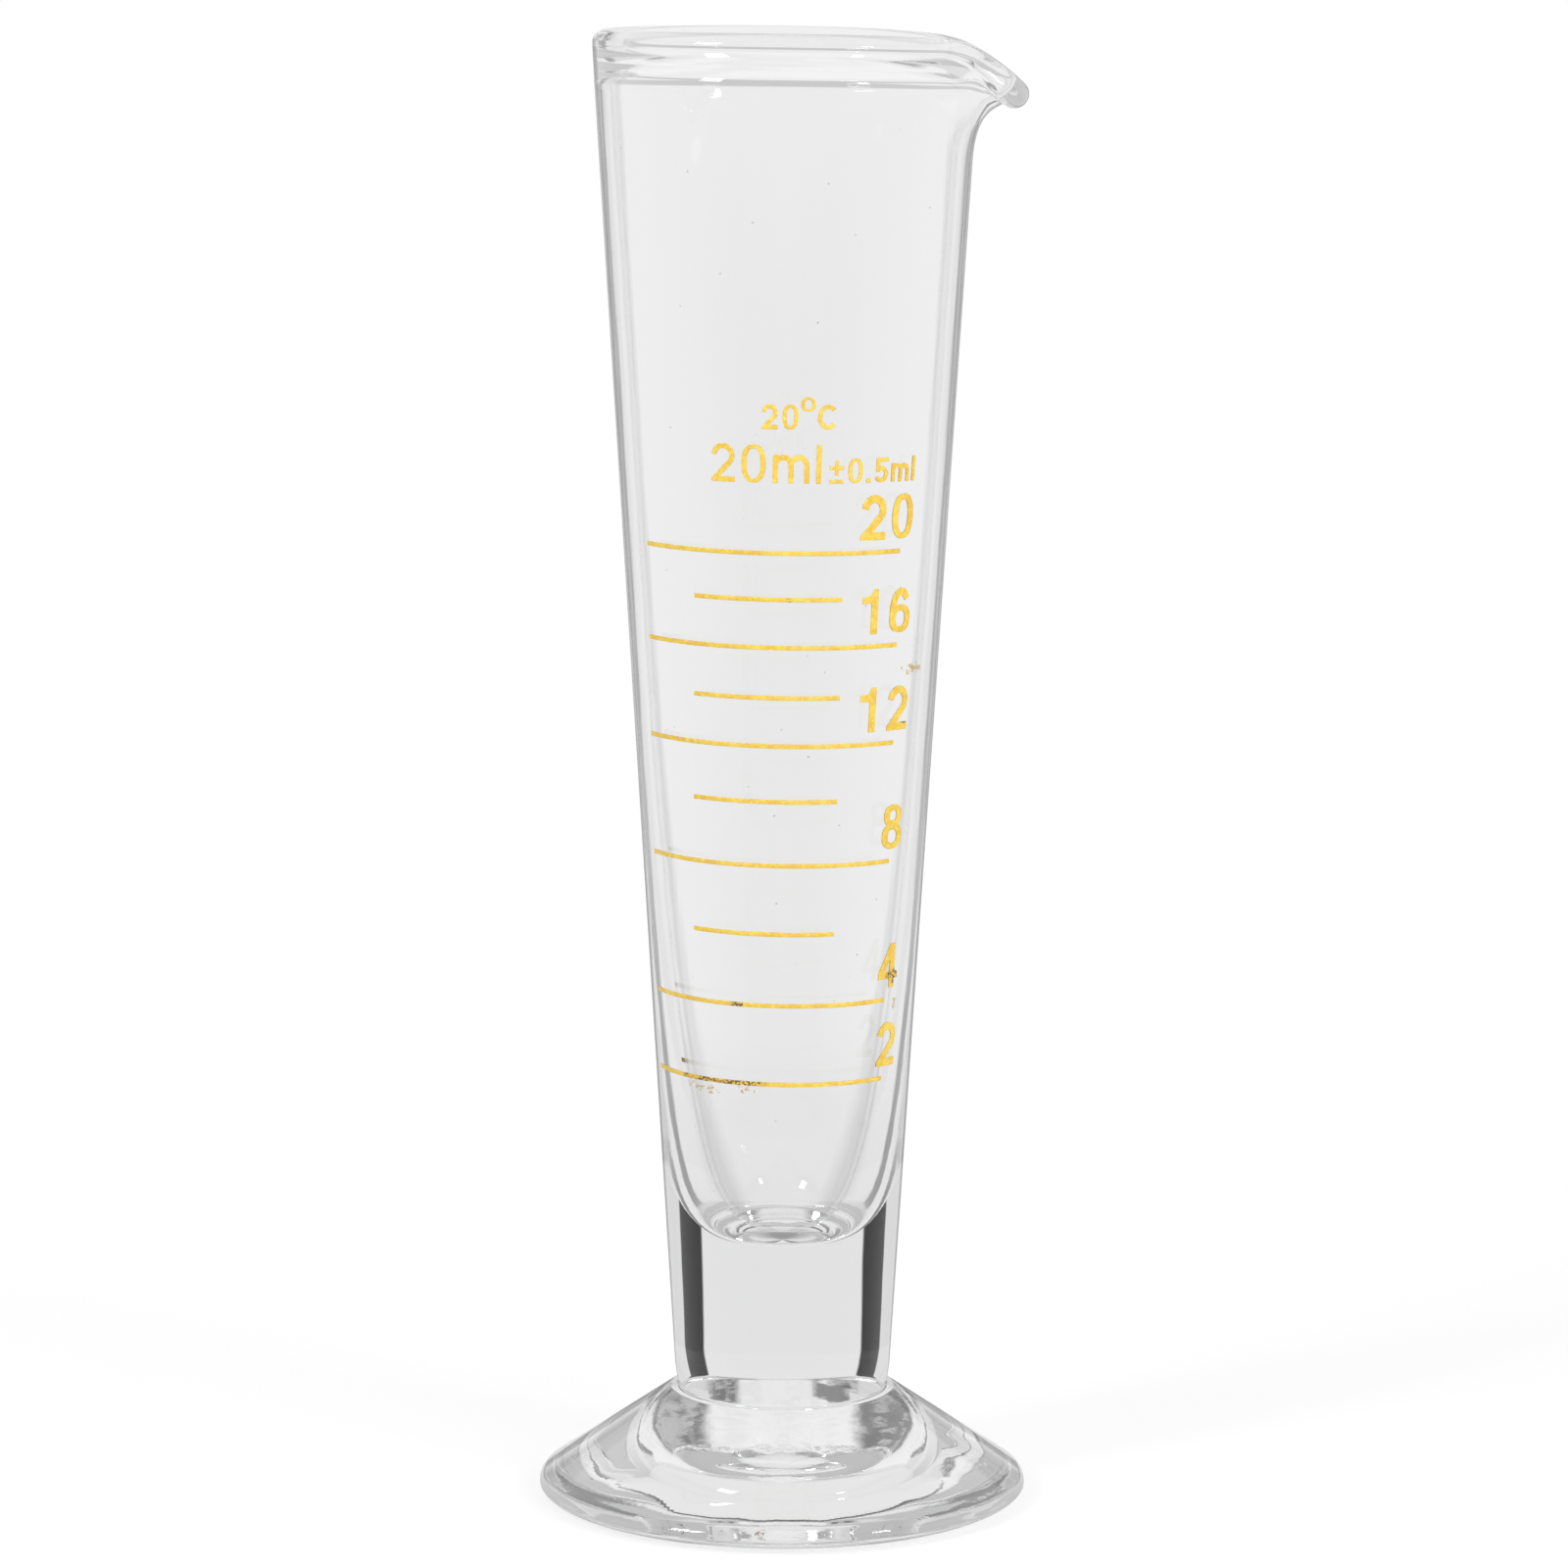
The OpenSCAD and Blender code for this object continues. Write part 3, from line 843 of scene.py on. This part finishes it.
def patches(t, x, z, places):
    """1 inside any of the small upright ovals, 0 elsewhere."""
    inside = 0
    for middle_x, middle_z, half_x, half_z in places:
        across = (x / MM - middle_x) / half_x
        up = (z / MM - middle_z) / half_z
        inside = 1 - t.step(across * across + up * up, 0.8, 1.0) + inside
    return inside.math("MINIMUM", 1)


def glass_material(colours):
    """Clear glass with faint drawing waves, fine scratches, a few specks and crumbs of enamel.

    Rays that stay caught inside the glass end in a soft gray glow: painted light that stands in for
    the light they would carry out of the glass.
    """
    material, t = new_material("Clear glass")
    place = t.node("ShaderNodeTexCoord", output="Object")
    waves = t.noise(place, scale=260.0, detail=2.0, stretch=(1, 1, 0.2))
    scratches = t.noise(place, scale=1400.0, detail=4.0, roughness=0.7, stretch=(0.35, 0.35, 1.6))
    scratches = t.step(scratches, low=0.7, high=0.74)
    drawn = t.noise(place, scale=1500.0, detail=2.0, stretch=(1, 1, 0.02))
    height = waves * 0.6 + scratches * 0.02 + drawn * 0.25
    bump = t.node("ShaderNodeBump", None, {"Strength": 0.04, "Distance": 0.0004, "Height": height})
    values = {"Vector": place, "Scale": 260.0, "Randomness": 1.0}
    specks = t.node("ShaderNodeTexVoronoi", {"feature": "F1"}, values, "Distance")
    dirt = 1 - t.step(specks, low=0.012, high=0.03)
    colour = t.blend(dirt, WHITE, DIRT_COLOUR)
    x, y, z = t.split(place)
    crumbs = t.step(t.noise(place, scale=2200.0, detail=3.0), low=0.52, high=0.58)
    crumbs = crumbs * patches(t, x, z, CRUMBS) * y.math("LESS_THAN", 0)
    colour = t.blend(crumbs, colour, CRUMB_COLOUR)
    values = {
        "Base Color": colour,
        "Roughness": 0.0,
        "IOR": IOR,
        "Transmission Weight": 1.0,
        "Normal": bump,
    }
    clear = t.node("ShaderNodeBsdfPrincipled", None, values)
    # Painted light: past the caught depth the glass glows soft gray instead of showing what lies
    # beyond
    caught = ray(t, "Glossy Depth").math("GREATER_THAN", CAUGHT_DEPTH)
    surface = t.node("ShaderNodeMixShader", None, [caught, clear, glow(t, SOFT_GRAY)])
    values = {"Color": (*colours.glass, 1), "Density": 30.0}
    volume = t.node("ShaderNodeVolumeAbsorption", None, values)
    t.node("ShaderNodeOutputMaterial", None, {"Surface": surface, "Volume": volume}, None)
    material.cycles.emission_sampling = "NONE"
    return material


def enamel_material(colours):
    """Grainy golden enamel, darker where it lies thick and burnt in the scuffs."""
    material, t = new_material("Amber enamel")
    place = t.node("ShaderNodeTexCoord", output="Object")
    grain = t.noise(place, scale=3200.0, detail=4.0, roughness=0.65)
    cloud = t.noise(place, scale=700.0, detail=2.0)
    thin = t.step(grain * 0.6 + cloud * 0.4, low=0.38, high=0.62)
    colour = t.blend(thin, (*colours.deep, 1), (*colours.amber, 1))
    colour = t.blend(t.step(grain, low=0.58, high=0.8), colour, (*colours.pale, 1))
    x, _, z = t.split(place)
    specks = t.noise(place, scale=5200.0, detail=2.0)
    worn = patches(t, x, z, SCUFFS) * t.step(specks * 0.7 + cloud * 0.3, low=0.44, high=0.56)
    colour = t.blend(worn, colour, (*colours.scorch, 1))
    # Painted reflection: where the enamel is seen only in a reflection of a reflection, its colour
    # is painted soft gray instead of amber
    mirrored = ray(t, "Glossy Depth").math("GREATER_THAN", MIRRORED_DEPTH)
    colour = t.blend(mirrored, colour, SOFT_GRAY)
    bump = t.node("ShaderNodeBump", None, {"Strength": 0.5, "Distance": 0.00004, "Height": grain})
    values = {"Base Color": colour, "Roughness": 0.42, "IOR": IOR, "Normal": bump}
    surface = t.node("ShaderNodeBsdfPrincipled", None, values)
    t.node("ShaderNodeOutputMaterial", None, {"Surface": surface}, None)
    return material


def turned_stops(*pairs):
    """Stops of a ramp over the half turn from straight behind the glass to straight in front."""
    return [(degrees / 180, gray(level)) for degrees, level in pairs]


def turn_from_behind(x, y):
    """0 straight behind the glass, 1 straight in front, the same on both sides."""
    return x.math("ABSOLUTE").math("ARCTAN2", y) / math.pi


# Pairs of degrees from straight behind and gray level. The flags are the two dark cards whose
# bands stand in the stem. The edge stripes are what the last millimetre of each side of the
# cone shows after one reflection.
FLAGS = turned_stops((29.5, 0.84), (30.5, 0.01), (47.5, 0.01), (48.5, 0.76), (110, 0.7))
WALL_STRIPES = turned_stops((16, 0.9), (19, 0.76), (28, 0.76), (31, 0.9), (110, 0.8))
EDGE_STRIPES = turned_stops(
    (9, 0.9), (12, 0.25), (24, 0.25), (29, 0.85), (60, 0.82), (110, 0.55), (150, 0.35)
)
NEAR_TABLE = turned_stops((15, 0.85), (25, 0.66), (60, 0.66), (90, 0.8))
DARK_WALLS = turned_stops((16, 0.93), (20, 0.2), (28, 0.2), (34, 0.75))
HIGH_WALLS = turned_stops((60, 0.93), (75, 0.45), (140, 0.35), (155, 0.9))
CLOUD_LIGHT = gray(0.8)
CEILING = gray(0.93)


def ramp(t, factor, stops):
    """The colour that these stops give."""
    return t.node("ShaderNodeValToRGB", {"stops": stops}, [factor])


def ray_kinds(t):
    """1 or 0 for camera rays, rays off or through glass, through solid glass, and mirrored rays."""
    camera = ray(t, "Is Camera Ray")
    seen = (ray(t, "Is Glossy Ray") + ray(t, "Is Transmission Ray")).math("MINIMUM", 1)
    into_and_out = ray(t, "Transmission Depth").math("LESS_THAN", SOLID_DEPTH)
    unmirrored = ray(t, "Glossy Depth").math("LESS_THAN", UNMIRRORED_DEPTH)
    return camera, seen, into_and_out * unmirrored, 1 - unmirrored


def table_light(t, x, y, solid, mirrored):
    """What the glass sees of the table: pale stripes, and a flag on each side behind solid glass.

    The flags lie out on the table, and only rays that left the glass low down see them, so that
    they don't show through the open mouth.
    """
    side = turn_from_behind(x, y)
    radius = (x * x + y * y).math("SQRT")
    far = t.step(radius, low=0.09, high=0.16)
    plain = t.blend(far, ramp(t, side, NEAR_TABLE), ramp(t, side, WALL_STRIPES))
    plain = t.blend(mirrored, plain, ramp(t, side, EDGE_STRIPES))
    last_run = ray(t, "Ray Length")
    rise_squared = last_run * last_run - radius * radius
    from_low = 1 - t.step(rise_squared, low=0.0008, high=0.0016)
    shown = solid * from_low * t.step(radius, low=0.07, high=0.08)
    return t.blend(shown, plain, ramp(t, side, FLAGS))


def room_light(t, x, y, z, solid, mirrored):
    """What the glass sees above the table, from the horizon up: the same stripes, cloudy dark
    walls that are plain gray through the hollow cone, high walls and a bright ceiling.
    """
    side = turn_from_behind(x, y)
    low = t.blend(mirrored, ramp(t, side, WALL_STRIPES), ramp(t, side, EDGE_STRIPES))
    low = t.blend(solid, low, ramp(t, side, FLAGS))
    clouds = t.step(t.noise(t.join(x, y, z), scale=11.0, detail=3.0), low=0.45, high=0.62)
    walls = t.blend(clouds * 0.5, ramp(t, side, DARK_WALLS), CLOUD_LIGHT)
    walls = t.blend((1 - solid) * (1 - mirrored), walls, SOFT_GRAY)
    low = t.blend(t.step(z, low=0.04, high=0.1), low, walls)
    high = t.blend(t.step(z, low=0.6, high=0.66), ramp(t, side, HIGH_WALLS), CEILING)
    return t.blend(t.step(z, low=0.38, high=0.44), low, high)


def floor_material(colours):
    """A white table with the shadow of the glass. The glass sees stripes and flags on it."""
    material, t = new_material("White table")
    camera, seen, solid, mirrored = ray_kinds(t)
    lit = t.node("ShaderNodeBsdfDiffuse", None, {"Color": (*colours.table, 1)})
    x, y, _ = t.split(t.node("ShaderNodeTexCoord", output="Object"))
    radius = (x * x + y * y).math("SQRT")
    near_share, far_share = 0.75, 0.25
    clear = near_share + far_share * t.step(radius, low=0.05, high=0.2)
    direct = t.node("ShaderNodeMixShader", None, [camera * clear, lit, glow(t, WHITE)])
    lights = glow(t, table_light(t, x, y, solid, mirrored))
    surface = t.node("ShaderNodeMixShader", None, [seen, direct, lights])
    t.node("ShaderNodeOutputMaterial", None, {"Surface": surface}, None)
    return material


def scene_sizes():
    """The sizes of the cone, the foot, the scale and the studio."""
    scene = bpy.context.scene
    return scene.measuring_glass, scene.pressed_foot, scene.fired_scale, scene.glass_studio


class SCENE_OT_glass_body(bpy.types.Operator):
    """Turn the cone, stem, foot and lip as one body of clear glass"""

    bl_idname = "scene.glass_body"
    bl_label = "Glass body"

    def execute(self, context):
        glass, foot, _, _ = scene_sizes()
        shape = GlassShape(glass, foot)
        rows = profile_rows(shape)
        profile = new_object("glass_profile", profile_mesh(rows))
        values = {
            "Rows": len(rows),
            "Cuts": CUTS,
            "Lip Angle": glass.lip_half,
            "Wall": glass.wall,
            "Bead Radius": shape.bead_radius,
            "Ripple": glass.ripple,
            "Foot Ripple": foot.ripple,
            "Foot Height": shape.foot_height,
            "Material": glass_material(context.scene.glass_colours),
        }
        mesh = settled(profile, glass_tree(), values)
        bpy.data.objects.remove(profile)
        make_piece("glass_body", mesh, "clear_glass", "measuring_cone", "foot")
        return {"FINISHED"}


class SCENE_OT_fired_lines(bpy.types.Operator):
    """Lay the lines of the scale round the front of the cone"""

    bl_idname = "scene.fired_lines"
    bl_label = "Scale lines"

    def execute(self, context):
        glass, foot, scale, _ = scene_sizes()
        shape = GlassShape(glass, foot)
        tree = line_tree()
        material = enamel_material(context.scene.glass_colours)
        top = line_height(NUMBERED_ML[0], scale)
        for seed, ml in enumerate(NUMBERED_ML + PLAIN_ML):
            name = f"graduation_{ml}"
            start = new_object(name, bpy.data.meshes.new(name))
            height = line_height(ml, scale)
            below = top - height
            length_here = scale.long_line if ml in NUMBERED_ML else scale.short_line
            values = {
                "Height": height,
                "Length": length_here * (1 - scale.narrowing * below / MM),
                "Width": scale.line,
                "Shift": scale.shift - below * math.sin(scale.lean),
                "Lean": scale.lean,
                "Film": scale.film,
                "Root": scale.root,
                "Ragged": scale.ragged,
                "Radius": shape.cone_radius(0),
                "Slope": shape.slope,
                "Seed": float(seed),
                "Material": material,
            }
            mesh = settled(start, tree, values)
            bpy.data.objects.remove(start)
            make_piece(f"enamel_{name}", mesh, "amber_enamel", name)
        return {"FINISHED"}


# The letters are remeshed in millimetres, with voxels of this size
VOXEL_MM = 0.04


class SCENE_OT_fired_letters(bpy.types.Operator):
    """Give the numbers and inscriptions their fired relief and ragged edge"""

    bl_idname = "scene.fired_letters"
    bl_label = "Numbers and inscriptions"

    def execute(self, context):
        glass, foot, scale, _ = scene_sizes()
        shape = GlassShape(glass, foot)
        tree = word_tree()
        material = bpy.data.materials["Amber enamel"]
        for name in INSCRIPTIONS:
            mesh = rooted_copy(name, shape, scale)
            start = new_object(f"{name}_start", mesh)
            remesh = start.modifiers.new("Even mesh", "REMESH")
            remesh.mode = "VOXEL"
            remesh.voxel_size = VOXEL_MM
            graph = bpy.context.evaluated_depsgraph_get()
            even = bpy.data.meshes.new_from_object(start.evaluated_get(graph))
            even.transform(Matrix.Scale(MM, 4))
            start.modifiers.remove(remesh)
            start.data = even
            done = settled(start, tree, {"Ragged": scale.ragged, "Material": material})
            bpy.data.objects.remove(start)
            make_piece(f"enamel_{name}", done, "amber_enamel", name)
        return {"FINISHED"}


def line_height(ml, scale):
    """Height of a line of the scale at the front of the glass, from its solid in the frame."""
    low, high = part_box(f"graduation_{ml}")
    return (low.z + high.z) / 2 + (low.x + high.x) / 2 * math.tan(scale.lean)


# Points of a node that are closer than this are one point
SAME_POINT = 1e-7


def rooted_copy(name, shape, scale):
    """A merged copy of a node in millimetres, its inner side sunk into the glass."""
    mesh = bmesh.new()
    mesh.from_mesh(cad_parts[name].data)
    bmesh.ops.remove_doubles(mesh, verts=mesh.verts, dist=SAME_POINT)
    for vertex in mesh.verts:
        radius = math.hypot(vertex.co.x, vertex.co.y)
        if radius - shape.cone_radius(vertex.co.z) < scale.film / 2:
            vertex.co.x *= 1 - scale.root / radius
            vertex.co.y *= 1 - scale.root / radius
    bmesh.ops.scale(mesh, verts=mesh.verts, vec=(1 / MM, 1 / MM, 1 / MM))
    copy = bpy.data.meshes.new(name)
    mesh.to_mesh(copy)
    mesh.free()
    return copy


# Name, place, side and power of each soft light
LAMPS = (
    ("key", (-0.5, -0.4, 0.5), 0.18, 3),
    ("fill", (0.5, -0.4, 0.4), 0.1, 1),
    ("wash", (0.45, -0.6, 0.3), 0.6, 4),
)
LAMP_AIM = Vector((0, 0, 0.06))
TABLE_HALF = 6.0
ROOM_LIGHT = 0.7
MANY_BOUNCES = 32
GLOSSY_BOUNCES = 16


class SCENE_OT_glass_studio(bpy.types.Operator):
    """Set the table, the lights and the camera"""

    bl_idname = "scene.glass_studio"
    bl_label = "Studio"

    def execute(self, context):
        *_, studio = scene_sizes()
        scene = context.scene
        scene.view_settings.view_transform = "Standard"
        scene.cycles.max_bounces = MANY_BOUNCES
        scene.cycles.transmission_bounces = MANY_BOUNCES
        scene.cycles.glossy_bounces = GLOSSY_BOUNCES
        self.table(scene.glass_colours)
        self.world(scene)
        for name, place, side, power in LAMPS:
            self.soft_box(name, place, side, power)
        camera = bpy.data.cameras.new("Camera")
        camera.sensor_width = 36
        camera.lens = studio.lens / MM
        camera.clip_start, camera.clip_end = 0.01, 20
        seat = new_object("camera", camera)
        seat.location = (0, -studio.distance, studio.rise)
        tilt = Matrix.Rotation(math.pi / 2 - studio.pitch, 4, "X")
        seat.rotation_euler = (tilt @ Matrix.Rotation(studio.roll, 4, "Z")).to_euler()
        scene.camera = seat
        return {"FINISHED"}

    def table(self, colours):
        """The white table on z = 0."""
        mesh = bpy.data.meshes.new("table")
        half = TABLE_HALF
        corners = [(-half, -half, 0), (half, -half, 0), (half, half, 0), (-half, half, 0)]
        mesh.from_pydata(corners, [], [(0, 1, 2, 3)])
        mesh.materials.append(floor_material(colours))
        new_object("table", mesh)

    def world(self, scene):
        """The room: white to the camera, stripes and walls to the glass, even light to the rest."""
        world = bpy.data.worlds.new("Studio")
        world.use_nodes = True
        world.node_tree.nodes.clear()
        scene.world = world
        t = Sheet(world.node_tree)
        camera, seen, solid, mirrored = ray_kinds(t)
        x, y, z = t.split(t.node("ShaderNodeTexCoord", output="Generated"))
        colour = t.blend(camera, room_light(t, x, y, z, solid, mirrored), WHITE)
        seen = (seen + camera).math("MINIMUM", 1)
        shown = t.node("ShaderNodeBackground", None, {"Color": colour, "Strength": 1.0})
        even = t.node("ShaderNodeBackground", None, {"Color": WHITE, "Strength": ROOM_LIGHT})
        surface = t.node("ShaderNodeMixShader", None, [seen, even, shown])
        t.node("ShaderNodeOutputWorld", None, {"Surface": surface}, None)

    def soft_box(self, name, place, side, power):
        """A square light that faces the glass. The glass doesn't show the wash."""
        lamp = bpy.data.lights.new(name, "AREA")
        lamp.shape = "SQUARE"
        lamp.size = side
        lamp.energy = power
        box = new_object(name, lamp)
        box.location = place
        aim = LAMP_AIM - Vector(place)
        box.rotation_euler = aim.to_track_quat("-Z", "Y").to_euler()
        if name == "wash":
            box.visible_glossy = False
            box.visible_transmission = False


class SCENE_PT_glass_panel(bpy.types.Panel):
    """Lists the steps that build the measuring glass"""

    bl_idname = "SCENE_PT_glass_panel"
    bl_label = "Measuring glass"
    bl_space_type = "VIEW_3D"
    bl_region_type = "UI"
    bl_category = "Measuring glass"

    def draw(self, context):
        for step in STEPS:
            self.layout.operator(step.bl_idname)


STEPS = (SCENE_OT_glass_body, SCENE_OT_fired_lines, SCENE_OT_fired_letters, SCENE_OT_glass_studio)
GROUPS = {
    "measuring_glass": GlassSizes,
    "pressed_foot": FootSizes,
    "fired_scale": EnamelSizes,
    "glass_studio": StudioSizes,
    "glass_colours": GlassColours,
}


def register():
    for group in GROUPS.values():
        bpy.utils.register_class(group)
    for name, group in GROUPS.items():
        setattr(bpy.types.Scene, name, bpy.props.PointerProperty(type=group))
    for step in STEPS:
        bpy.utils.register_class(step)
    bpy.utils.register_class(SCENE_PT_glass_panel)


def unregister():
    bpy.utils.unregister_class(SCENE_PT_glass_panel)
    for step in reversed(STEPS):
        bpy.utils.unregister_class(step)
    for name, group in GROUPS.items():
        delattr(bpy.types.Scene, name)
        bpy.utils.unregister_class(group)


def main():
    """Builds the scene."""
    register()
    bpy.ops.scene.glass_body()
    bpy.ops.scene.fired_lines()
    bpy.ops.scene.fired_letters()
    bpy.ops.scene.glass_studio()


if __name__ == "__main__":
    main()
